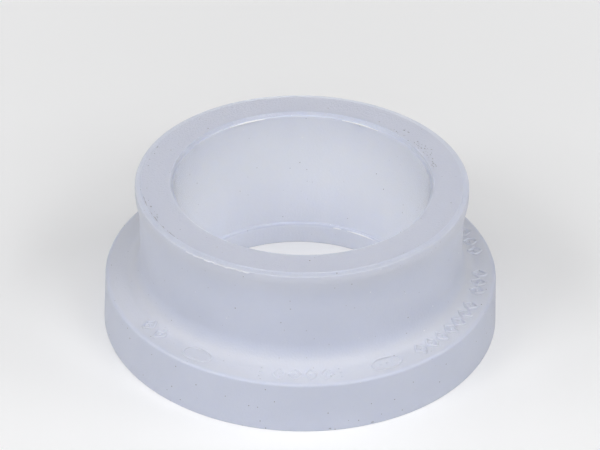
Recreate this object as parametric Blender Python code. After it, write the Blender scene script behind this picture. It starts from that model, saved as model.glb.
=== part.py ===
"""A socket-fusion flange adapter in natural polypropylene: one moulded piece.

A thick flange with a flat sealing face carries a short neck. The neck holds the pipe socket,
which ends at a narrow stop ledge above a plain bore. The whole piece is one turned section.
Metres, +Z up. The origin is the centre of the sealing face, which the adapter stands on.
"""

import math

import bmesh
import bpy

# Bore and socket, from the sealing face up
BORE_DIAMETER = 0.0848
STOP_HEIGHT = 0.0082
STOP_WIDTH = 0.0013
SOCKET_TAPER = 0.00025
MOUTH_BEVEL_WIDTH = 0.00095
MOUTH_BEVEL_HEIGHT = 0.0015

# Neck: its wall, its height above the flange and the bead round its rim
NECK_WALL = 0.0119
NECK_HEIGHT = 0.0359
BEAD_STAND_OUT = 0.0014
BEAD_DROP = 0.0027
BEAD_TAPER_HEIGHT = 0.0045
RIM_SHOULDER_WIDTH = 0.0021
RIM_BEVEL_WIDTH = 0.0013
RIM_BEVEL_HEIGHT = 0.0010

# Flange: how far it stands out from the neck, its thickness and the lean of its side
FLANGE_STAND_OUT = 0.01315
FLANGE_THICKNESS = 0.0186
FLANGE_DRAFT = 0.0009

# Fillet between the neck and the flange
FILLET_WIDTH = 0.0055
FILLET_HEIGHT = 0.0080

# Rounding of the edges, as the distance from the corner to where the round starts
SEAL_EDGE_ROUND = 0.0004
FLANGE_EDGE_ROUND = 0.0009
BEAD_ROUND = 0.0012
RIM_ROUND = 0.0003
MOUTH_ROUND = 0.0004
STOP_ROOT_ROUND = 0.0003
STOP_EDGE_ROUND_WIDTH = 0.0007
STOP_EDGE_ROUND_DEPTH = 0.0018

# The most of a side that one rounded corner may take up
ROUND_SHARE = 0.45
SEGMENTS = 96

NATURAL_POLYPROPYLENE = (0.60, 0.62, 0.69, 1.0)
SURFACE_ROUGHNESS = 0.42


def clear_scene():
    """Removes what the scene already holds."""
    for obj in list(bpy.data.objects):
        bpy.data.objects.remove(obj, do_unlink=True)


def natural_plastic():
    """The milky, slightly bluish finish of unpigmented polypropylene."""
    material = bpy.data.materials.new("natural_polypropylene")
    material.use_nodes = True
    shader = material.node_tree.nodes["Principled BSDF"]
    shader.inputs["Base Color"].default_value = NATURAL_POLYPROPYLENE
    shader.inputs["Roughness"].default_value = SURFACE_ROUGHNESS
    shader.inputs["Metallic"].default_value = 0.0
    return material


def section_corners():
    """The section's sharp corners, each as (radius, height, round before, round after, steps).

    The rounds are measured back along the side before the corner and on along the side after it.
    The corners run outwards over the sealing face, up the outside, over the rim and down the socket.
    """
    bore = BORE_DIAMETER / 2
    root = bore + STOP_WIDTH
    mouth = root + SOCKET_TAPER
    mouth_edge = mouth + MOUTH_BEVEL_WIDTH
    neck = mouth + NECK_WALL
    bead = neck + BEAD_STAND_OUT
    rim_edge = bead - RIM_SHOULDER_WIDTH
    flange = neck + FLANGE_STAND_OUT
    height = FLANGE_THICKNESS + NECK_HEIGHT
    bead_height = height - BEAD_DROP
    return [
        (bore, 0.0, SEAL_EDGE_ROUND, SEAL_EDGE_ROUND, 2),
        (flange, 0.0, SEAL_EDGE_ROUND, SEAL_EDGE_ROUND, 2),
        (flange - FLANGE_DRAFT, FLANGE_THICKNESS, FLANGE_EDGE_ROUND, FLANGE_EDGE_ROUND, 3),
        (neck, FLANGE_THICKNESS, FILLET_WIDTH, FILLET_HEIGHT, 8),
        (neck, bead_height - BEAD_TAPER_HEIGHT, BEAD_ROUND, BEAD_ROUND, 3),
        (bead, bead_height, BEAD_ROUND, BEAD_ROUND, 3),
        (rim_edge + RIM_BEVEL_WIDTH, height - RIM_BEVEL_HEIGHT, RIM_ROUND, RIM_ROUND, 2),
        (rim_edge, height, RIM_ROUND, RIM_ROUND, 2),
        (mouth_edge, height, MOUTH_ROUND, MOUTH_ROUND, 2),
        (mouth, height - MOUTH_BEVEL_HEIGHT, MOUTH_ROUND, MOUTH_ROUND, 2),
        (root, STOP_HEIGHT, STOP_ROOT_ROUND, STOP_ROOT_ROUND, 2),
        (bore, STOP_HEIGHT, STOP_EDGE_ROUND_WIDTH, STOP_EDGE_ROUND_DEPTH, 4),
    ]


def towards(start, end, distance):
    """The point at a distance from start towards end, kept within a share of the way."""
    length = math.dist(start, end)
    share = min(distance, ROUND_SHARE * length) / length
    return tuple(a + (b - a) * share for a, b in zip(start, end))


def rounded(corners):
    """The closed outline with each corner replaced by a quarter of an ellipse."""
    outline = []
    for index, (radius, height, before, after, steps) in enumerate(corners):
        corner = (radius, height)
        entry = towards(corner, corners[index - 1][:2], before)
        leaving = towards(corner, corners[(index + 1) % len(corners)][:2], after)
        for step in range(steps + 1):
            angle = math.pi / 2 * step / steps
            near_entry = 1 - math.sin(angle)
            near_exit = 1 - math.cos(angle)
            outline.append(
                tuple(
                    c + (a - c) * near_entry + (b - c) * near_exit
                    for c, a, b in zip(corner, entry, leaving)
                )
            )
    return outline


def turned_solid(name, outline, material):
    """The solid that the closed outline sweeps in one turn round the Z axis."""
    mesh = bpy.data.meshes.new(name)
    shape = bmesh.new()
    profile = [shape.verts.new((radius, 0.0, height)) for radius, height in outline]
    sides = [shape.edges.new((profile[i - 1], profile[i])) for i in range(len(profile))]
    bmesh.ops.spin(
        shape,
        geom=profile + sides,
        cent=(0.0, 0.0, 0.0),
        axis=(0.0, 0.0, 1.0),
        angle=math.tau,
        steps=SEGMENTS,
        use_merge=True,
    )
    bmesh.ops.recalc_face_normals(shape, faces=shape.faces)
    shape.to_mesh(mesh)
    shape.free()
    mesh.materials.append(material)
    mesh.shade_smooth()
    mesh.set_sharp_from_angle(angle=math.radians(35))
    solid = bpy.data.objects.new(name, mesh)
    bpy.context.scene.collection.objects.link(solid)
    return solid


def main():
    clear_scene()
    turned_solid("flange_adapter", rounded(section_corners()), natural_plastic())


main()
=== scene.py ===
"""The looks of a socket-fusion flange adapter in natural polypropylene.

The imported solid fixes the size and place. The piece made here has the same turned section in
finer steps, with the low moulded marks on the flange, the small flaws and the milky plastic.
Metres, +Z up. The origin is the centre of the sealing face, which stands on the floor.
"""

import math
import random

import bmesh
import bpy
import numpy as np
from mathutils import Matrix, Vector


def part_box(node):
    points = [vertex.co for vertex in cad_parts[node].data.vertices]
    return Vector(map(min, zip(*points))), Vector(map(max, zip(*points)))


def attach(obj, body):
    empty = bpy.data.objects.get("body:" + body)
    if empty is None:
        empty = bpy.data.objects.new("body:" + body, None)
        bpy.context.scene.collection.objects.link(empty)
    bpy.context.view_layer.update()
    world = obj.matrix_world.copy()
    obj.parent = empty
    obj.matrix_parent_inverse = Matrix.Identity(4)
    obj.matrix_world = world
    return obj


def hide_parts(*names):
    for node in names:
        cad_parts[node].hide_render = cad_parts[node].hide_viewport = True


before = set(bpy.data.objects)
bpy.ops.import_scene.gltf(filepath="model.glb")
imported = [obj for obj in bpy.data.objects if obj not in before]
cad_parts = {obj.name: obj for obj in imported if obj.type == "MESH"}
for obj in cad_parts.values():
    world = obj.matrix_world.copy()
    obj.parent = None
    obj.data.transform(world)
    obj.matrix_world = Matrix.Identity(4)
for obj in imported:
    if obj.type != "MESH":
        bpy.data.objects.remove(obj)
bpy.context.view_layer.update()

NODE = "flange_adapter"
BODY = "root"
SLOT = "natural_polypropylene"
MM = 0.001

# Section sizes, as in the solid, with the small steps at the rim's edges added. The flange's
# radius and the overall height come from the frame
BORE_RADIUS = 42.4 * MM
STOP_HEIGHT = 8.2 * MM
STOP_WIDTH = 1.3 * MM
SOCKET_TAPER = 0.25 * MM
MOUTH_BEVEL_WIDTH = 0.95 * MM
MOUTH_BEVEL_HEIGHT = 1.32 * MM
MOUTH_STEP_WIDTH = 0.22 * MM
MOUTH_STEP_HEIGHT = 1.15 * MM
NECK_WALL = 11.9 * MM
BEAD_STAND_OUT = 1.4 * MM
BEAD_DROP = 2.7 * MM
BEAD_TAPER_HEIGHT = 8.0 * MM
RIM_SHOULDER_WIDTH = 2.1 * MM
RIM_STEP = 0.22 * MM
RIM_BEVEL_WIDTH = 1.95 * MM
RIM_BEVEL_HEIGHT = 0.42 * MM
FLANGE_THICKNESS = 18.6 * MM
FLANGE_DRAFT = 0.9 * MM
FILLET_WIDTH = 5.5 * MM
FILLET_HEIGHT = 8.0 * MM
SEAL_EDGE_ROUND = 0.4 * MM
FLANGE_EDGE_ROUND = 0.9 * MM
TAPER_ROUND = 3.0 * MM
BEAD_ROUND = 1.2 * MM
RIM_ROUND = 0.25 * MM
STEP_ROUND = 0.12 * MM
MOUTH_ROUND = 0.08 * MM
STOP_ROOT_ROUND = 0.3 * MM
STOP_EDGE_ROUND_WIDTH = 0.6 * MM
STOP_EDGE_ROUND_DEPTH = 1.8 * MM

# Radii that the section passes through
STOP_ROOT_RADIUS = BORE_RADIUS + STOP_WIDTH
MOUTH_RADIUS = STOP_ROOT_RADIUS + SOCKET_TAPER
RIM_INNER_RADIUS = MOUTH_RADIUS + MOUTH_BEVEL_WIDTH
NECK_RADIUS = MOUTH_RADIUS + NECK_WALL
BEAD_RADIUS = NECK_RADIUS + BEAD_STAND_OUT
RIM_OUTER_RADIUS = BEAD_RADIUS - RIM_SHOULDER_WIDTH

# Fineness of the turned mesh
SEGMENTS = 432
LONGEST_SIDE = 2.0 * MM
SLIVER = 0.001 * MM
SHARP_ANGLE = math.radians(38)

# The most of a side that one rounded corner may take up, and the most of the fillet's width at
# which its slope is still worked out
ROUND_SHARE = 0.45
FILLET_LIMIT = 0.99

# Slow unevenness of the moulded skin: how deep it goes, its waves round the turn, and the most
# that they lean over the height. It is deeper on the bead's outside, where it grows over a
# height that starts well below the rim
SKIN_DEPTH = 0.05 * MM
SKIN_WAVES = (2, 3, 5, 8, 13, 21, 34)
SKIN_LEAN = 4.0
SKIN_SEED = 11
BEAD_SKIN_DEPTH = 0.14 * MM
BEAD_SKIN_START = 5 * MM
BEAD_SKIN_GROWTH = 3 * MM
BEAD_SKIN_MARGIN = 1 * MM

# Strokes, each a bead along a path: their row on the flange, their half width there, the sides of
# their section, the rings that round off an end and how much of its tip these leave flat, the
# points of a closed one, and the length of a dot
MARK_ROW_RADIUS = 62.25 * MM
STROKE_HALF_WIDTH = 0.38 * MM
STROKE_SIDES = 12
CAP_RINGS = 3
CAP_FLATNESS = 0.4
LOOP_POINTS = 36
DOT_LENGTH = 0.2 * MM

# Camera, from the photograph's circles, for a frame 600 pixels wide
FRAME_WIDTH = 600
SENSOR_WIDTH = 36.0
FOCAL_PIXELS = 2508.5
CAMERA_DISTANCE = 0.8873
CAMERA_ELEVATION = math.radians(35.846)
CAMERA_PAN = math.radians(0.033)
CAMERA_TILT = math.radians(1.9306)
CAMERA_ROLL = math.radians(0.9262)


def make_object(name, mesh):
    """A scene object for the mesh."""
    obj = bpy.data.objects.new(name, mesh)
    bpy.context.scene.collection.objects.link(obj)
    return obj


def section_corners(flange, height):
    """The section's corners, each as (radius, height, round before, round after, steps).

    They run outwards over the sealing face, up the outside, over the rim and down the socket.
    """
    bead_height = height - BEAD_DROP
    step_radius = RIM_INNER_RADIUS - MOUTH_STEP_WIDTH
    return [
        (BORE_RADIUS, 0.0, SEAL_EDGE_ROUND, SEAL_EDGE_ROUND, 4),
        (flange, 0.0, SEAL_EDGE_ROUND, SEAL_EDGE_ROUND, 5),
        (flange - FLANGE_DRAFT, FLANGE_THICKNESS, FLANGE_EDGE_ROUND, FLANGE_EDGE_ROUND, 8),
        (NECK_RADIUS, FLANGE_THICKNESS, FILLET_WIDTH, FILLET_HEIGHT, 18),
        (NECK_RADIUS, bead_height - BEAD_TAPER_HEIGHT, TAPER_ROUND, TAPER_ROUND, 6),
        (BEAD_RADIUS, bead_height, BEAD_ROUND, BEAD_ROUND, 7),
        (RIM_OUTER_RADIUS + RIM_BEVEL_WIDTH, height - RIM_BEVEL_HEIGHT, RIM_ROUND, RIM_ROUND, 5),
        (RIM_OUTER_RADIUS + RIM_STEP, height - RIM_STEP, STEP_ROUND, STEP_ROUND, 3),
        (RIM_OUTER_RADIUS, height, STEP_ROUND, STEP_ROUND, 4),
        (RIM_INNER_RADIUS, height, STEP_ROUND, STEP_ROUND, 4),
        (step_radius, height - MOUTH_STEP_HEIGHT, STEP_ROUND, STEP_ROUND, 3),
        (MOUTH_RADIUS, height - MOUTH_BEVEL_HEIGHT, MOUTH_ROUND, MOUTH_ROUND, 6),
        (STOP_ROOT_RADIUS, STOP_HEIGHT, STOP_ROOT_ROUND, STOP_ROOT_ROUND, 4),
        (BORE_RADIUS, STOP_HEIGHT, STOP_EDGE_ROUND_WIDTH, STOP_EDGE_ROUND_DEPTH, 10),
    ]


def towards_share(start, end, share):
    """The point at a share of the way from start to end."""
    return tuple(a + (b - a) * share for a, b in zip(start, end))


def towards(start, end, distance):
    """The point at a distance from start towards end, kept within a share of the way."""
    length = math.dist(start, end)
    return towards_share(start, end, min(distance, ROUND_SHARE * length) / length)


def rounded(corners):
    """The closed outline with each corner replaced by a quarter of an ellipse."""
    outline = []
    for index, (radius, height, before, after, steps) in enumerate(corners):
        corner = (radius, height)
        entry = towards(corner, corners[index - 1][:2], before)
        leaving = towards(corner, corners[(index + 1) % len(corners)][:2], after)
        for step in range(steps + 1):
            angle = math.pi / 2 * step / steps
            near_entry = 1 - math.sin(angle)
            near_exit = 1 - math.cos(angle)
            outline.append(
                tuple(
                    c + (a - c) * near_entry + (b - c) * near_exit
                    for c, a, b in zip(corner, entry, leaving)
                )
            )
    return outline


def divided(outline, longest):
    """The closed outline with extra points, so that no side is longer than given."""
    points = []
    for index, start in enumerate(outline):
        end = outline[(index + 1) % len(outline)]
        pieces = max(1, math.ceil(math.dist(start, end) / longest))
        for piece in range(pieces):
            points.append(towards_share(start, end, piece / pieces))
    return np.array(points)


def unevenness(angles, outline, height):
    """How far each point of the skin lies inside its true radius, a little and slowly changing."""
    luck = random.Random(SKIN_SEED)
    level = outline[:, 1][None, :] / height
    turn = angles[:, None]
    wave = np.zeros((len(angles), len(outline)))
    for count in SKIN_WAVES:
        phase = luck.uniform(0, math.tau)
        lean = luck.uniform(-SKIN_LEAN, SKIN_LEAN)
        wave += np.cos(count * turn + phase + lean * level) / len(SKIN_WAVES)
    on_bead = np.clip((outline[:, 1] - (height - BEAD_SKIN_START)) / BEAD_SKIN_GROWTH, 0, 1)
    outside = outline[:, 0] > RIM_OUTER_RADIUS - BEAD_SKIN_MARGIN
    depth = SKIN_DEPTH + (BEAD_SKIN_DEPTH - SKIN_DEPTH) * on_bead * outside
    return depth[None, :] * (0.5 + 0.5 * wave)


def turned_mesh(name, outline, height):
    """The mesh that the closed outline sweeps in one turn round the Z axis."""
    angles = np.arange(SEGMENTS) * math.tau / SEGMENTS
    count = len(outline)
    radius = outline[:, 0][None, :] - unevenness(angles, outline, height)
    level = np.broadcast_to(outline[:, 1][None, :], radius.shape)
    across = radius * np.cos(angles)[:, None]
    along = radius * np.sin(angles)[:, None]
    points = np.stack([across, along, level], axis=-1).reshape(-1, 3)
    turn = np.arange(SEGMENTS)[:, None] * count
    next_turn = (np.arange(SEGMENTS)[:, None] + 1) % SEGMENTS * count
    here = np.arange(count)[None, :]
    there = (here + 1) % count
    corners = [turn + here, next_turn + here, next_turn + there, turn + there]
    mesh = bpy.data.meshes.new(name)
    mesh.from_pydata(points.tolist(), [], np.stack(corners, axis=-1).reshape(-1, 4).tolist())
    return mesh


class Surface:
    """A round surface of the part: the point and normal at an angle and a second measure."""

    def __init__(self, flange, height):
        self.flange = flange
        self.height = height

    def face(self, angle, radius):
        """The flange's upper face and the fillet, by radius."""
        slope = 0.0
        level = FLANGE_THICKNESS
        share = 1 - (radius - NECK_RADIUS) / FILLET_WIDTH
        if share > 0:
            root = math.sqrt(1 - min(share, FILLET_LIMIT) ** 2)
            level += FILLET_HEIGHT * (1 - root)
            slope = FILLET_HEIGHT / FILLET_WIDTH * share / root
        return self.spot(angle, radius, level, slope, 1.0)

    def rim(self, angle, radius):
        """The flat rim, by radius."""
        return self.spot(angle, radius, self.height, 0.0, 1.0)

    def side(self, angle, level):
        """The flange's side, by height."""
        radius = self.flange - FLANGE_DRAFT * level / FLANGE_THICKNESS
        return self.spot(angle, radius, level, 1.0, 0.0)

    @staticmethod
    def spot(angle, radius, level, outward, upward):
        """A point on a round surface, with its normal from the outward and upward parts."""
        out = Vector((math.cos(angle), math.sin(angle), 0))
        point = out * radius + Vector((0, 0, level))
        return point, (out * outward + Vector((0, 0, upward))).normalized()


def stroke_rings(spots, half_width, half_height, closed, swell):
    """The rings of a stroke, one at each spot, each as (middle, ahead, side, up)."""
    places = [point for point, _ in spots]
    rings = []
    for index, (point, normal) in enumerate(spots):
        before = places[index - 1] if closed or index else point
        is_last = index + 1 == len(places)
        after = places[(index + 1) % len(places)] if closed or not is_last else point
        ahead = (after - before).normalized()
        side = normal.cross(ahead).normalized()
        scale = 1 + swell * math.sin(math.pi * index / (len(spots) - 1))
        width = side * half_width * scale
        rings.append((point, ahead, width, ahead.cross(side) * half_height * scale))
    return rings


def add_stroke(shape, spots, half_width, half_height, closed=False, swell=0.0):
    """Adds one bead along the spots, thicker in its middle by the share given as swell.

    Its section is an ellipse centred on the surface.
    """
    rings = stroke_rings(spots, half_width, half_height, closed, swell)
    if not closed:
        rings = capped(rings, half_width)
    loops = [ring_points(shape, point, side, up) for point, _, side, up in rings]
    pairs = list(zip(loops, loops[1:]))
    if closed:
        pairs.append((loops[-1], loops[0]))
    for one, other in pairs:
        for index in range(STROKE_SIDES):
            shape.faces.new((one[index - 1], one[index], other[index], other[index - 1]))
    if not closed:
        shape.faces.new(loops[0])
        shape.faces.new(loops[-1][::-1])


def capped(rings, reach):
    """The rings with smaller ones added beyond both ends, which round them off."""
    first = []
    last = []
    for step in range(1, CAP_RINGS + 1):
        angle = math.pi / 2 * step / (CAP_RINGS + CAP_FLATNESS)
        out = reach * math.sin(angle)
        scale = math.cos(angle)
        point, ahead, side, up = rings[0]
        first.insert(0, (point - ahead * out, ahead, side * scale, up * scale))
        point, ahead, side, up = rings[-1]
        last.append((point + ahead * out, ahead, side * scale, up * scale))
    return first + rings + last


def ring_points(shape, middle, side, up):
    """The vertices of one ring of a stroke."""
    ring = []
    for index in range(STROKE_SIDES):
        angle = math.tau * index / STROKE_SIDES
        ring.append(shape.verts.new(middle + side * math.cos(angle) + up * math.sin(angle)))
    return ring


# A figure is a list of strokes, each as (path, closed), with (along, outward) offsets in metres
def dots(*places):
    """Round dots at offsets in millimetres."""
    return [
        ([(along * MM - DOT_LENGTH / 2, out * MM), (along * MM + DOT_LENGTH / 2, out * MM)], False)
        for along, out in places
    ]


def loop(half_width, half_height, power):
    """A closed stroke: a ring at power 2, a lozenge near 1.2 and a rounded box near 5."""
    path = []
    for index in range(LOOP_POINTS):
        angle = math.tau * index / LOOP_POINTS
        reach = (abs(math.cos(angle)) ** power + abs(math.sin(angle)) ** power) ** (-1 / power)
        along = half_width * reach * math.cos(angle)
        out = half_height * reach * math.sin(angle)
        path.append((along * MM, out * MM))
    return [(path, True)]


def gem():
    """A lozenge with a dot in its middle."""
    return loop(1.9, 2.5, 1.25) + dots((0, 0))


def studs():
    """Three dots in a column."""
    return dots((0, -2.1), (0, 0), (0, 2.1))


# Heights of the strokes, in millimetres
FINE = 0.26
LOW = 0.36
CLEAR = 0.55

# Each figure: its middle on the turn in degrees, the height of its strokes, and the strokes
FIGURES = [
    (21.5, CLEAR, gem()),
    (15.8, CLEAR, gem()),
    (10.3, CLEAR, gem()),
    (-2.6, CLEAR, gem()),
    (-7.4, CLEAR, gem()),
    (-12.2, CLEAR, gem()),
    (-20.6, CLEAR, gem()),
    (-25.4, CLEAR, gem()),
    (-30.2, CLEAR, gem()),
    (-35.0, CLEAR, gem()),
    (-39.8, CLEAR, gem()),
    (-44.6, CLEAR, gem()),
    (-49.4, CLEAR, gem()),
    (-62.2, LOW, loop(5.3, 2.6, 2.8) + dots((-2.6, 0), (0, 0), (2.6, 0))),
    (-77.3, FINE, studs()),
    (-81.6, FINE, gem()),
    (-86.4, FINE, gem()),
    (-91.2, FINE, gem()),
    (-96.1, FINE, gem()),
    (-101.8, FINE, studs()),
    (-123.0, LOW, loop(5.2, 2.8, 2.6)),
    (-138.6, CLEAR, gem()),
    (-144.6, CLEAR, gem()),
]


def add_figures(shape, surface):
    """The row of low raised figures on the flange's face."""
    for middle, rise, strokes in FIGURES:
        turn = math.radians(middle)
        for path, closed in strokes:
            spots = [
                surface.face(turn + along / MARK_ROW_RADIUS, MARK_ROW_RADIUS + out)
                for along, out in path
            ]
            add_stroke(shape, spots, STROKE_HALF_WIDTH, rise * MM, closed)


# Thin burrs in the socket: start and end on the turn in degrees, half width at the ends, swell
MOUTH_BURRS = [
    (126.0, 108.0, 0.15 * MM, 1.5),
    (71.5, 53.0, 0.15 * MM, 0.9),
]
MOUTH_BURR_RADIUS = MOUTH_RADIUS - 0.08 * MM
MOUTH_BURR_DROP = 0.12 * MM
STOP_BURRS = [
    (67.0, 51.0, 0.18 * MM, 1.0),
    (73.8, 70.2, 0.26 * MM, 0.3),
]
STOP_BURR_RADIUS = BORE_RADIUS + 0.1 * MM
STOP_BURR_LEVEL = 7.5 * MM

# How far apart a burr's points are, in degrees, and the outward and upward way that it faces
BURR_STEP = 1.0
BURR_FACING = (-0.8, 0.6)


def add_burrs(shape, surface):
    """Thin burrs along the mouth's lower edge and along the stop, which carry a painted highlight.
    """
    mouth_level = surface.height - MOUTH_BEVEL_HEIGHT - MOUTH_BURR_DROP
    for burr in MOUTH_BURRS:
        add_arc(shape, surface, MOUTH_BURR_RADIUS, mouth_level, *burr)
    for burr in STOP_BURRS:
        add_arc(shape, surface, STOP_BURR_RADIUS, STOP_BURR_LEVEL, *burr)


def add_arc(shape, surface, radius, level, start, end, half_width, swell):
    """One thin bead along an arc inside the socket."""
    count = max(2, round(abs(end - start) / BURR_STEP))
    spots = []
    for step in range(count + 1):
        angle = math.radians(start + (end - start) * step / count)
        spots.append(surface.spot(angle, radius, level, *BURR_FACING))
    add_stroke(shape, spots, half_width, half_width, swell=swell)


# The bead's ragged line: its start and step on the turn in degrees, how many points it has, how
# many millimetres these lie below the shoulder and within the bead, the outward and upward way
# that it faces, and its half width and half height
RAGGED_START = -131
RAGGED_STEP = 0.8
RAGGED_POINTS = 31
RAGGED_DROP = (0.0, 0.5)
RAGGED_INSET = (0.15, 0.3)
RAGGED_FACING = (0.9, 0.45)
RAGGED_SECTION = (0.30 * MM, 0.34 * MM)
RAGGED_SEED = 5


def add_ragged_line(shape, surface):
    """A stretch of the bead's edge where the plastic stands up in a ragged line."""
    luck = random.Random(RAGGED_SEED)
    spots = []
    for step in range(RAGGED_POINTS):
        angle = math.radians(RAGGED_START + RAGGED_STEP * step)
        level = surface.height - RIM_BEVEL_HEIGHT - luck.uniform(*RAGGED_DROP) * MM
        radius = BEAD_RADIUS - luck.uniform(*RAGGED_INSET) * MM
        spots.append(surface.spot(angle, radius, level, *RAGGED_FACING))
    add_stroke(shape, spots, *RAGGED_SECTION)


# Pits in the rim: how many, their stretch of the turn in degrees, their radii, and their sizes in
# millimetres
RIM_PITS = [
    (7, (12.0, 16.5), (RIM_INNER_RADIUS + 0.9 * MM, RIM_INNER_RADIUS + 3.0 * MM), (0.26, 0.42)),
    (24, (16.0, 34.0), (RIM_INNER_RADIUS + 0.7 * MM, RIM_INNER_RADIUS + 3.8 * MM), (0.12, 0.30)),
    (11, (34.0, 51.0), (RIM_INNER_RADIUS + 0.6 * MM, RIM_INNER_RADIUS + 2.2 * MM), (0.12, 0.30)),
    (2, (40.0, 43.5), (RIM_INNER_RADIUS + 3.4 * MM, RIM_INNER_RADIUS + 4.6 * MM), (0.30, 0.38)),
    (1, (-162, -160), (RIM_OUTER_RADIUS - 1.5 * MM, RIM_OUTER_RADIUS - 1.4 * MM), (0.40, 0.44)),
    (4, (-166, -151), (RIM_OUTER_RADIUS - 1.9 * MM, RIM_OUTER_RADIUS - 1.2 * MM), (0.14, 0.28)),
    (4, (150, 172), (RIM_OUTER_RADIUS - 1.8 * MM, RIM_OUTER_RADIUS - 0.6 * MM), (0.16, 0.36)),
]
PIT_TRIES = 60
PIT_GAP = 0.06 * MM
PIT_SEED = 8

# A pit's half length without its ends, half width and half depth, as shares of its size
PIT_LENGTH = (0.2, 0.6)
PIT_WIDTH = (0.7, 1.0)
PIT_DEPTH = (0.5, 0.8)


def add_rim_pits(shape, surface):
    """Small irregular pits scattered in the rim, each clear of the others."""
    luck = random.Random(PIT_SEED)
    taken = []
    for count, turns, radii, sizes in RIM_PITS:
        for _ in range(count):
            add_pit(shape, surface, luck, taken, turns, radii, luck.uniform(*sizes) * MM)


def add_pit(shape, surface, luck, taken, turns, radii, size):
    """One pit, at the first drawn place that is clear of the taken ones."""
    length = size * luck.uniform(*PIT_LENGTH)
    for _ in range(PIT_TRIES):
        angle = math.radians(luck.uniform(*turns))
        radius = luck.uniform(*radii)
        middle, _ = surface.rim(angle, radius)
        room = size + length + PIT_GAP
        if all((middle - other).length > room + reach for other, reach in taken):
            break
    else:
        return
    taken.append((middle, size + length))
    turn = length / radius
    spots = [surface.rim(angle - turn, radius), surface.rim(angle + turn, radius)]
    half_width = size * luck.uniform(*PIT_WIDTH)
    half_depth = size * luck.uniform(*PIT_DEPTH)
    add_stroke(shape, spots, half_width, half_depth)


# Ragged tears along the rim's outer step: start, end and step on the turn in degrees, how many
# millimetres their points lie in from the edge, and their half width and half depth
RIM_TEARS = [(-168, -160), (-158, -150), (-148.5, -145.5), (-144, -138)]
TEAR_STEP = 0.7
TEAR_INSET = (0.05, 0.55)
TEAR_SECTION = (0.19 * MM, 0.085 * MM)
TEAR_SWELL = 0.3
TEAR_SEED = 21


def add_rim_tears(shape, surface):
    """Thin ragged grooves where the rim's outer edge was torn a little."""
    luck = random.Random(TEAR_SEED)
    for start, end in RIM_TEARS:
        count = round((end - start) / TEAR_STEP)
        spots = []
        for step in range(count + 1):
            angle = math.radians(start + (end - start) * step / count)
            radius = RIM_OUTER_RADIUS - luck.uniform(*TEAR_INSET) * MM
            spots.append(surface.rim(angle, radius))
        add_stroke(shape, spots, *TEAR_SECTION, swell=TEAR_SWELL)


# Nicks at the foot of the side: start and end on the turn in degrees, half width, half depth
FOOT_NICKS = [
    (-81.4, -81.0, 0.28 * MM, 0.30 * MM),
    (-79.6, -74.5, 0.26 * MM, 0.08 * MM),
    (-69.2, -68.8, 0.32 * MM, 0.34 * MM),
]
FOOT_NICK_LEVEL = 0.85 * MM


def add_foot_nicks(shape, surface):
    """Short nicks just above the lower edge of the flange's side."""
    for start, end, half_width, half_depth in FOOT_NICKS:
        spots = [
            surface.side(math.radians(angle), FOOT_NICK_LEVEL)
            for angle in (start, (start + end) / 2, end)
        ]
        add_stroke(shape, spots, half_width, half_depth)


def raised(shape, surface):
    """All that stands up from the skin."""
    add_figures(shape, surface)
    add_burrs(shape, surface)
    add_ragged_line(shape, surface)


def flaws(shape, surface):
    """All that is cut into the skin."""
    add_rim_pits(shape, surface)
    add_rim_tears(shape, surface)
    add_foot_nicks(shape, surface)


def closed_mesh(name, fill, surface):
    """A helper object whose closed shells are added by the fill function."""
    shape = bmesh.new()
    fill(shape, surface)
    bmesh.ops.recalc_face_normals(shape, faces=shape.faces)
    mesh = bpy.data.meshes.new(name)
    shape.to_mesh(mesh)
    shape.free()
    return make_object(name, mesh)


def combine(body, helper, operation):
    """Joins the helper's shells to the body, or cuts them from it, and removes the helper."""
    modifier = body.modifiers.new(helper.name, "BOOLEAN")
    modifier.object = helper
    modifier.operation = operation
    modifier.solver = "MANIFOLD"
    evaluated = body.evaluated_get(bpy.context.evaluated_depsgraph_get())
    mesh = bpy.data.meshes.new_from_object(evaluated)
    old = body.data
    body.modifiers.clear()
    body.data = mesh
    mesh.name = body.name
    bpy.data.meshes.remove(old)
    bpy.data.objects.remove(helper)


def dissolve_slivers(body):
    """Closes up the edges, faces and needless points that the joins leave behind."""
    shape = bmesh.new()
    shape.from_mesh(body.data)
    bmesh.ops.dissolve_degenerate(shape, edges=shape.edges, dist=SLIVER)
    needless = [point for point in shape.verts if len(point.link_edges) == 2]
    bmesh.ops.dissolve_verts(shape, verts=needless)
    shape.to_mesh(body.data)
    shape.free()


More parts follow.
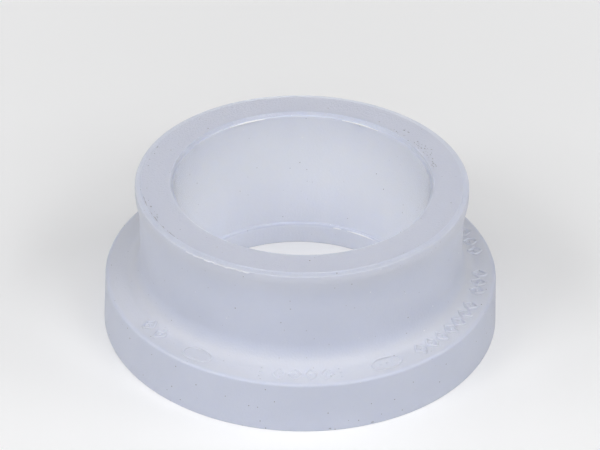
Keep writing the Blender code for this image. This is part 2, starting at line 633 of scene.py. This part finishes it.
class Nodes:
    """Adds and joins the nodes of one material, or of the world."""

    def __init__(self, material):
        material.use_nodes = True
        self.tree = material.node_tree

    def add(self, kind, settings=None, **values):
        """A new node. Values set or link its inputs, whose names have _ for a space."""
        node = self.tree.nodes.new("ShaderNode" + kind)
        for name, value in (settings or {}).items():
            setattr(node, name, value)
        for name, value in values.items():
            self.set(node, name.replace("_", " "), value)
        return node

    def set(self, node, name, value):
        """Sets an input to a value, or links it where the value is another node's output."""
        socket = node.inputs[name]
        if isinstance(value, bpy.types.NodeSocket):
            self.tree.links.new(value, socket)
        else:
            socket.default_value = value

    def math(self, operation, first, second=None):
        """The output of a Math node."""
        node = self.add("Math", {"operation": operation})
        self.set(node, 0, first)
        if second is not None:
            self.set(node, 1, second)
        return node.outputs[0]

    def near(self, value, middle, reach):
        """One where the value lies within the reach of the middle, else nothing."""
        output = self.math("COMPARE", value, middle)
        output.node.inputs[2].default_value = reach
        return output

    def blend(self, factor, first, second):
        """The output of a colour mix."""
        node = self.add("Mix", {"data_type": "RGBA"})
        for index, value in ((0, factor), (6, first), (7, second)):
            self.set(node, index, value)
        return node.outputs[2]

    def seen(self):
        """One where a surface is seen straight, mirrored or through glass, else nothing."""
        ray = self.add("LightPath").outputs
        straight = self.math("MAXIMUM", ray["Is Camera Ray"], ray["Is Glossy Ray"])
        return self.math("MAXIMUM", straight, ray["Is Transmission Ray"])

    def spread(self, value, low, high, to_low, to_high):
        """The value carried from one range to another, and held within it."""
        node = self.add("MapRange", From_Min=low, From_Max=high, To_Min=to_low, To_Max=to_high)
        self.set(node, "Value", value)
        return node.outputs["Result"]


# Natural polypropylene: milky, a little blue, with dark specks of dust moulded in. The face, rim,
# socket and burr colours are painted light and shade, and the dark speck colour also paints shade
# in the pits
PLASTIC = (0.632, 0.663, 0.772, 1.0)
PLASTIC_CLOUD = (0.612, 0.643, 0.750, 1.0)
# Painted highlight: a less blue, slightly lighter tint on the fillet's foot and the flange's face,
# for the white sheen of the highlight there
FACE_SHEEN_TINT = (0.644, 0.662, 0.733, 1.0)
# Painted shade: a darker copy of the plastic for the rim's top
RIM_PAINTED_SHADE = (0.571, 0.594, 0.700, 1.0)
# Painted light: a paler copy of the plastic for the socket, for the light that gathers inside it
SOCKET_PAINTED_LIGHT = (0.832, 0.853, 0.930, 1.0)
# Painted highlight: near white for the burrs and the ragged line, for the lamps' glints on them
BURR_HIGHLIGHT = (0.95, 0.96, 0.99, 1.0)
# Dark specks, and also the painted shade in the bottoms of pits and nicks
DARK_SPECK_AND_PIT_SHADE = (0.20, 0.19, 0.18, 1.0)
PALE_SPECK = (0.99, 0.99, 1.0, 1.0)
CLOUD_SCALE = 45.0
CLOUD_RANGE = (0.35, 0.65)

# Specks: the space that holds one, its radius, how much of this is its soft edge, the least size
# and strength that one has as a share of the most, both also on the flange's side, and the share
# of them that are dark
SPECK_CELL = 3.0 * MM
SPECK_RADIUS = 0.27 * MM
SPECK_EDGE = 0.25
LEAST_SIZE = 0.5
LEAST_STRENGTH = 0.3
SIDE_LEAST_SIZE = 0.9
SIDE_LEAST_STRENGTH = 0.8
DARK_SHARE = 0.7

# Where the rim's painted shade is, a darker copy of the plastic on its top: how far in from its
# edges, and how far down
RIM_MARGIN = 0.3 * MM
RIM_TOP = 0.15 * MM

# How far a burr stands clear of the socket's wall, the bore and the bead where it gets the painted
# highlight
WALL_CLEARANCE = 0.1 * MM
BORE_CLEARANCE = 0.08 * MM
BEAD_INSET = 0.05 * MM

# Where the painted shade in the bottoms of pits and nicks goes, each as (middle, reach): below the
# rim, above the foot, and in from the flange's side
PIT_DROP = (0.35 * MM, 0.3 * MM)
NICK_LEVEL = (0.9 * MM, 0.45 * MM)
NICK_INSET = (0.5 * MM, 0.28 * MM)

# How strong the painted highlight on the ragged line and the painted shade in the pits and nicks
# are
BEAD_HIGHLIGHT = 0.4
PIT_SHADE = 0.45

# Finish: the roughness outside with the scale and range of its patches, how much less it is in
# the socket, the grain's depth on the skin and on the rim, and between which depths below the
# rim it changes
SATIN = (0.47, 0.51)
PATCH_SCALE = 160.0
PATCH_RANGE = (0.3, 0.7)
POLISH = 0.30
POLISH_MARGIN = 0.03 * MM
GRAIN_SCALE = 1300.0
SKIN_GRAIN = 0.10 * MM
RIM_GRAIN = 0.26 * MM
GRAIN_CHANGE = (0.7 * MM, 0.3 * MM)
PLASTIC_IOR = 1.49
SCATTER_DEPTH = 0.22 * MM
SCATTER_COLOUR = (1.0, 1.05, 1.15)

# How much of the socket's painted light the plastic has at each radius, from the bore out to the
# rim. The paler colour stands in for the light that gathers in the socket, on the stop and on the
# mouth's step
SOCKET_LIGHT_SHARES = [
    (BORE_RADIUS + 0.05 * MM, 0.75),
    (BORE_RADIUS + 0.12 * MM, 0.38),
    (STOP_ROOT_RADIUS - 0.15 * MM, 0.38),
    (STOP_ROOT_RADIUS - 0.04 * MM, 0.75),
    (STOP_ROOT_RADIUS + 0.08 * MM, 1.0),
    (MOUTH_RADIUS - 0.10 * MM, 1.0),
    (MOUTH_RADIUS - 0.03 * MM, 0.85),
    (MOUTH_RADIUS + 0.03 * MM, 0.0),
    (RIM_INNER_RADIUS - 0.28 * MM, 0.0),
    (RIM_INNER_RADIUS - 0.20 * MM, 0.35),
    (RIM_INNER_RADIUS - 0.06 * MM, 0.35),
    (RIM_INNER_RADIUS, 0.0),
]

# How much of the flange face's painted sheen tint it has at each radius, from the neck out
FACE_SHEEN_SHARES = [
    (NECK_RADIUS + 0.3 * MM, 0.0),
    (NECK_RADIUS + 2.0 * MM, 1.0),
    (NECK_RADIUS + 10.5 * MM, 1.0),
    (NECK_RADIUS + 12.0 * MM, 0.0),
]


def share_at(nodes, radius, shares):
    """The share at a radius, read between the given ones."""
    start = shares[0][0]
    end = shares[-1][0]
    ramp = nodes.add("ValToRGB", Fac=nodes.spread(radius, start, end, 0.0, 1.0))
    points = ramp.color_ramp.elements
    while len(points) < len(shares):
        points.new(0.5)
    for point, (place, _) in zip(points, shares):
        point.position = (place - start) / (end - start)
    for point, (_, share) in zip(points, shares):
        point.color = (share, share, share, 1.0)
    return ramp.outputs["Color"]


def measures(nodes):
    """The point on the object, its distance from the axis and its height."""
    point = nodes.add("TexCoord").outputs["Object"]
    flat = nodes.add("VectorMath", {"operation": "MULTIPLY"})
    nodes.set(flat, 0, point)
    nodes.set(flat, 1, (1.0, 1.0, 0.0))
    length = nodes.add("VectorMath", {"operation": "LENGTH"})
    nodes.set(length, 0, flat.outputs[0])
    level = nodes.add("SeparateXYZ", Vector=point).outputs["Z"]
    return point, length.outputs["Value"], level


def clouded(nodes, point, radius):
    """Milky plastic with faint clouds, and a painted sheen tint on the flange's face."""
    cloud = nodes.add("TexNoise", Vector=point, Scale=CLOUD_SCALE, Detail=3.0, Roughness=0.55)
    share = nodes.spread(cloud.outputs["Fac"], *CLOUD_RANGE, 0.0, 1.0)
    colour = nodes.blend(share, PLASTIC, PLASTIC_CLOUD)
    return nodes.blend(share_at(nodes, radius, FACE_SHEEN_SHARES), colour, FACE_SHEEN_TINT)


def rim_band(nodes, radius):
    """One over the rim's width, a little in from its edges, else nothing."""
    middle = (RIM_INNER_RADIUS + RIM_OUTER_RADIUS) / 2
    return nodes.near(radius, middle, (RIM_OUTER_RADIUS - RIM_INNER_RADIUS) / 2 - RIM_MARGIN)


def burr_highlight_share(nodes, radius, level, height):
    """How much painted highlight a spot gets: on what stands in from the walls or out from the
    bead.
    """
    mouth = height - MOUTH_BEVEL_HEIGHT
    wall = nodes.spread(level, STOP_HEIGHT, mouth, STOP_ROOT_RADIUS, MOUTH_RADIUS)
    stands_in = nodes.math("LESS_THAN", radius, nodes.math("SUBTRACT", wall, WALL_CLEARANCE))
    above = nodes.math("GREATER_THAN", level, STOP_HEIGHT + STOP_ROOT_ROUND)
    stands_in = nodes.math("MULTIPLY", stands_in, above)
    in_bore = nodes.math("LESS_THAN", radius, BORE_RADIUS - BORE_CLEARANCE)
    stands_out = nodes.math("GREATER_THAN", radius, BEAD_RADIUS - BEAD_INSET)
    high = nodes.math("GREATER_THAN", level, height - BEAD_DROP / 2)
    stands_out = nodes.math("MULTIPLY", stands_out, high)
    stands_out = nodes.math("MULTIPLY", stands_out, BEAD_HIGHLIGHT)
    return nodes.math("MAXIMUM", nodes.math("MAXIMUM", stands_in, in_bore), stands_out)


def pit_shade_share(nodes, radius, level, on_rim, flange, height):
    """How much painted shade a spot gets: in the bottoms of the rim's pits and of the nicks at the
    foot.
    """
    below_rim = nodes.near(level, height - PIT_DROP[0], PIT_DROP[1])
    at_foot = nodes.near(level, *NICK_LEVEL)
    cut_in = nodes.near(radius, flange - NICK_INSET[0], NICK_INSET[1])
    pit = nodes.math("MULTIPLY", on_rim, below_rim)
    pit = nodes.math("MAXIMUM", pit, nodes.math("MULTIPLY", at_foot, cut_in))
    return nodes.math("MULTIPLY", pit, PIT_SHADE)


def specks(nodes, point, radius, level):
    """How much of a spot is speck, and the speck's colour. The flange's side has the clearest."""
    cells = nodes.add("TexVoronoi", Vector=point, Scale=1 / SPECK_CELL)
    chance = nodes.add("SeparateColor", Color=cells.outputs["Color"]).outputs
    on_side = nodes.math("LESS_THAN", level, FLANGE_THICKNESS - FLANGE_EDGE_ROUND)
    on_side = nodes.math("MULTIPLY", on_side, nodes.math("GREATER_THAN", radius, NECK_RADIUS))
    size = nodes.spread(chance["Red"], 0.0, 1.0, LEAST_SIZE, 1.0)
    size = nodes.math("MAXIMUM", size, nodes.math("MULTIPLY", on_side, SIDE_LEAST_SIZE))
    edge = nodes.math("MULTIPLY", size, SPECK_RADIUS / SPECK_CELL)
    depth = nodes.math("SUBTRACT", edge, cells.outputs["Distance"])
    share = nodes.spread(depth, 0.0, SPECK_EDGE * SPECK_RADIUS / SPECK_CELL, 0.0, 1.0)
    strength = nodes.math("POWER", chance["Green"], 2.0)
    strength = nodes.spread(strength, 0.0, 1.0, LEAST_STRENGTH, 1.0)
    side_strength = nodes.math("MULTIPLY", on_side, SIDE_LEAST_STRENGTH)
    share = nodes.math("MULTIPLY", share, nodes.math("MAXIMUM", strength, side_strength))
    pale = nodes.math("GREATER_THAN", chance["Blue"], DARK_SHARE)
    pale = nodes.math("MULTIPLY", pale, nodes.math("SUBTRACT", 1.0, on_side))
    return share, nodes.blend(pale, DARK_SPECK_AND_PIT_SHADE, PALE_SPECK)


def add_finish(nodes, shader, point, radius, level, height):
    """The satin skin with its fine grain, coarser on the rim, and the polished socket."""
    patch = nodes.add("TexNoise", Vector=point, Scale=PATCH_SCALE, Detail=4.0, Roughness=0.6)
    satin = nodes.spread(patch.outputs["Fac"], *PATCH_RANGE, *SATIN)
    inside = nodes.math("LESS_THAN", radius, MOUTH_RADIUS + POLISH_MARGIN)
    polish = nodes.math("MULTIPLY", inside, POLISH)
    nodes.set(shader, "Roughness", nodes.math("SUBTRACT", satin, polish))
    grain = nodes.add("TexNoise", Vector=point, Scale=GRAIN_SCALE, Detail=4.0, Roughness=0.65)
    low = height - GRAIN_CHANGE[0]
    high = height - GRAIN_CHANGE[1]
    depth = nodes.spread(level, low, high, SKIN_GRAIN, RIM_GRAIN)
    skin = nodes.add("Bump", Strength=1.0, Distance=depth, Height=grain.outputs["Fac"])
    nodes.set(shader, "Normal", skin.outputs["Normal"])
    shader.inputs["IOR"].default_value = PLASTIC_IOR


def natural_plastic(flange, height):
    """The milky plastic with moulded-in specks, and painted light and shade: a sheen tint on the
    face, a darker rim top, a paler socket, highlights on the burrs and shade in the pits.
    """
    material = bpy.data.materials.new(SLOT)
    nodes = Nodes(material)
    shader = nodes.tree.nodes["Principled BSDF"]
    point, radius, level = measures(nodes)
    colour = clouded(nodes, point, radius)
    on_rim = rim_band(nodes, radius)
    # Painted shade on the rim's top
    top = nodes.math("GREATER_THAN", level, height - RIM_TOP)
    colour = nodes.blend(nodes.math("MULTIPLY", on_rim, top), colour, RIM_PAINTED_SHADE)
    # Painted light: the socket's paler colour, by radius
    colour = nodes.blend(share_at(nodes, radius, SOCKET_LIGHT_SHARES), colour, SOCKET_PAINTED_LIGHT)
    # Painted highlight on the burrs and the ragged line
    colour = nodes.blend(burr_highlight_share(nodes, radius, level, height), colour, BURR_HIGHLIGHT)
    # Painted shade in the bottoms of the pits and nicks
    pit = pit_shade_share(nodes, radius, level, on_rim, flange, height)
    colour = nodes.blend(pit, colour, DARK_SPECK_AND_PIT_SHADE)
    speck, speck_colour = specks(nodes, point, radius, level)
    nodes.set(shader, "Base Color", nodes.blend(speck, colour, speck_colour))
    add_finish(nodes, shader, point, radius, level, height)
    nodes.set(shader, "Subsurface Weight", nodes.math("SUBTRACT", 1.0, speck))
    shader.inputs["Subsurface Radius"].default_value = SCATTER_COLOUR
    shader.inputs["Subsurface Scale"].default_value = SCATTER_DEPTH
    return material


# Floor and surround: how bright the floor looks of itself near the part and far off, between
# which distances that changes, how bright the surround looks, and the floor's finish
WHITE = (1.0, 1.0, 1.0, 1.0)
FLOOR_COLOUR = (0.79, 0.79, 0.795, 1.0)
NEAR_LIFT = 0.18
FAR_LIFT = 0.72
LIFT_CHANGE = (0.15, 1.2)
SURROUND = 0.81
FLOOR_ROUGHNESS = 0.8
FLOOR_GLOSS = 0.1
FLOOR_SIZE = 40.0
FLOOR_GAP = 0.05 * MM


def make_floor():
    """A plain pale floor just under the sealing face."""
    bpy.ops.mesh.primitive_plane_add(size=FLOOR_SIZE, location=(0, 0, -FLOOR_GAP))
    floor = bpy.context.active_object
    floor.name = "floor"
    material = bpy.data.materials.new("floor")
    nodes = Nodes(material)
    shader = nodes.tree.nodes["Principled BSDF"]
    shader.inputs["Base Color"].default_value = FLOOR_COLOUR
    shader.inputs["Roughness"].default_value = FLOOR_ROUGHNESS
    shader.inputs["Specular IOR Level"].default_value = FLOOR_GLOSS
    away = nodes.add("VectorMath", {"operation": "LENGTH"})
    nodes.set(away, 0, nodes.add("TexCoord").outputs["Object"])
    lift = nodes.spread(away.outputs["Value"], *LIFT_CHANGE, NEAR_LIFT, FAR_LIFT)
    nodes.set(shader, "Emission Strength", nodes.math("MULTIPLY", nodes.seen(), lift))
    shader.inputs["Emission Color"].default_value = WHITE
    floor.data.materials.append(material)


# Area lamps: name, azimuth from the camera's side, elevation, distance, width, height, watts
LAMPS = [
    ("lamp_front", 0, 42, 1.6, 1.5, 0.9, 5.40),
    ("lamp_front_high", 0, 65, 1.6, 1.5, 0.9, 4.60),
    ("lamp_right_front", 43, 38, 1.5, 0.55, 0.55, 6.15),
    ("lamp_left_front", -51, 38, 1.5, 0.55, 0.55, 6.75),
    ("lamp_right", 90, 40, 1.5, 0.6, 0.6, 4.35),
    ("lamp_left", -90, 40, 1.5, 0.6, 0.6, 3.45),
]
LAMP_AIM = 0.03

# A wide low light from behind, so that the back isn't dark
BACK_AZIMUTH = 180
BACK_ELEVATION = 3
BACK_DISTANCE = 2.0
BACK_WIDTH = math.radians(20)
BACK_STRENGTH = 0.95


def place_lamp(name, data, azimuth, elevation, distance):
    """Stands a lamp in its direction from the part, aimed at the part's middle."""
    turn = math.radians(azimuth)
    rise = math.radians(elevation)
    lamp = bpy.data.objects.new(name, data)
    bpy.context.scene.collection.objects.link(lamp)
    flat = math.cos(rise)
    way = Vector((math.sin(turn) * flat, -math.cos(turn) * flat, math.sin(rise)))
    lamp.location = Vector((0, 0, LAMP_AIM)) + way * distance
    lamp.rotation_euler = (-way).to_track_quat("-Z", "Y").to_euler()


def make_lamp(name, azimuth, elevation, distance, width, height, watts):
    """A soft rectangular lamp."""
    data = bpy.data.lights.new(name, "AREA")
    data.shape = "RECTANGLE"
    data.size = width
    data.size_y = height
    data.energy = watts
    place_lamp(name, data, azimuth, elevation, distance)


def make_back_light():
    """A broad low sun behind the part."""
    data = bpy.data.lights.new("back_light", "SUN")
    data.angle = BACK_WIDTH
    data.energy = BACK_STRENGTH
    place_lamp("back_light", data, BACK_AZIMUTH, BACK_ELEVATION, BACK_DISTANCE)


def make_world():
    """An even pale surround, which is seen but gives no light."""
    world = bpy.data.worlds.new("world")
    bpy.context.scene.world = world
    nodes = Nodes(world)
    background = nodes.tree.nodes["Background"]
    background.inputs["Color"].default_value = WHITE
    nodes.set(background, "Strength", nodes.math("MULTIPLY", nodes.seen(), SURROUND))


def make_camera():
    """The camera at the photograph's viewing angle."""
    data = bpy.data.cameras.new("camera")
    data.sensor_width = SENSOR_WIDTH
    data.lens = SENSOR_WIDTH * FOCAL_PIXELS / FRAME_WIDTH
    camera = bpy.data.objects.new("camera", data)
    bpy.context.scene.collection.objects.link(camera)
    way = Vector((0.0, -math.cos(CAMERA_ELEVATION), math.sin(CAMERA_ELEVATION)))
    look = (-way).to_track_quat("-Z", "Y").to_matrix().to_4x4()
    turn = (
        Matrix.Rotation(CAMERA_PAN, 4, "Y")
        @ Matrix.Rotation(CAMERA_TILT, 4, "X")
        @ Matrix.Rotation(CAMERA_ROLL, 4, "Z")
    )
    camera.matrix_world = Matrix.Translation(way * CAMERA_DISTANCE) @ look @ turn
    bpy.context.scene.camera = camera


def make_body():
    """The adapter: the turned section with its marks, burrs and pits, as one closed mesh."""
    _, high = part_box(NODE)
    surface = Surface(high.x, high.z)
    outline = divided(rounded(section_corners(high.x, high.z)), LONGEST_SIDE)
    body = make_object("adapter_body", turned_mesh("adapter_body", outline, high.z))
    combine(body, closed_mesh("raised", raised, surface), "UNION")
    combine(body, closed_mesh("flaws", flaws, surface), "DIFFERENCE")
    dissolve_slivers(body)
    body.data.materials.clear()
    body.data.materials.append(natural_plastic(high.x, high.z))
    body.data.shade_smooth()
    body.data.set_sharp_from_angle(angle=SHARP_ANGLE)
    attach(body, BODY)
    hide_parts(NODE)


make_camera()
make_world()
for lamp in LAMPS:
    make_lamp(*lamp)
make_back_light()
make_floor()
make_body()
bpy.context.scene.view_settings.view_transform = "Standard"
